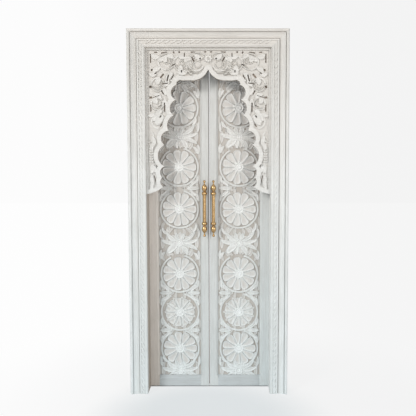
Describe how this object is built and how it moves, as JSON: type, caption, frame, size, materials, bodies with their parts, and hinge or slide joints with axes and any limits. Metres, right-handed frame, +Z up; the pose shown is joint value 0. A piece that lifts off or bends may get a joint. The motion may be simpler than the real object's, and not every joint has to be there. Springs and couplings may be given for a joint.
{
  "type": "carved teak double door with frame",
  "caption": "Narrow double door of limewashed carved teak in a moulded frame, with a cusped arch board in front, rosette panels and turned brass pull handles.",
  "frame": {"origin": "on the floor, at the middle of the frame's width and depth", "axes": "+Z up, +X to the viewer's right across the door, +Y from the carved front to the back, where the leaves open"},
  "size_m": [0.932, 0.1727, 2.134],
  "materials": {
    "limewashed_teak": "limewashed, matt, with brown wood showing in the recesses",
    "brass": "polished"
  },
  "bodies": {
    "frame": {"arch_board": "limewashed_teak", "head_carved_band": "limewashed_teak", "head_casing": "limewashed_teak", "head_jamb": "limewashed_teak", "head_stop": "limewashed_teak", "left_carved_band": "limewashed_teak", "left_casing": "limewashed_teak", "left_frame_hinge_screws": "brass", "left_jamb": "limewashed_teak", "left_lower_hinge_frame_plate": "brass", "left_lower_hinge_pin": "brass", "left_middle_hinge_frame_plate": "brass", "left_middle_hinge_pin": "brass", "left_stop": "limewashed_teak", "left_upper_hinge_frame_plate": "brass", "left_upper_hinge_pin": "brass", "right_carved_band": "limewashed_teak", "right_casing": "limewashed_teak", "right_frame_hinge_screws": "brass", "right_jamb": "limewashed_teak", "right_lower_hinge_frame_plate": "brass", "right_lower_hinge_pin": "brass", "right_middle_hinge_frame_plate": "brass", "right_middle_hinge_pin": "brass", "right_stop": "limewashed_teak", "right_upper_hinge_frame_plate": "brass", "right_upper_hinge_pin": "brass"},
    "left_leaf": {"left_bottom_rail": "limewashed_teak", "left_carved_panel": "limewashed_teak", "left_handle_grip": "brass", "left_handle_posts": "brass", "left_hinge_stile": "limewashed_teak", "left_leaf_hinge_screws": "brass", "left_lower_hinge_leaf_plate": "brass", "left_meeting_stile": "limewashed_teak", "left_middle_hinge_leaf_plate": "brass", "left_top_rail": "limewashed_teak", "left_upper_hinge_leaf_plate": "brass"},
    "right_leaf": {"right_bottom_rail": "limewashed_teak", "right_carved_panel": "limewashed_teak", "right_handle_grip": "brass", "right_handle_posts": "brass", "right_hinge_stile": "limewashed_teak", "right_leaf_hinge_screws": "brass", "right_lower_hinge_leaf_plate": "brass", "right_meeting_stile": "limewashed_teak", "right_middle_hinge_leaf_plate": "brass", "right_top_rail": "limewashed_teak", "right_upper_hinge_leaf_plate": "brass"}
  },
  "joints": [
    {"name": "left_leaf_hinge", "type": "hinge", "parent": "frame", "child": "left_leaf", "pos_m": [-0.3725, 0.0802, 1], "axis": [0, 0, 1], "range_deg": [0, 100]},
    {"name": "right_leaf_hinge", "type": "hinge", "parent": "frame", "child": "right_leaf", "pos_m": [0.3725, 0.0802, 1], "axis": [0, 0, -1], "range_deg": [0, 100]}
  ]
}
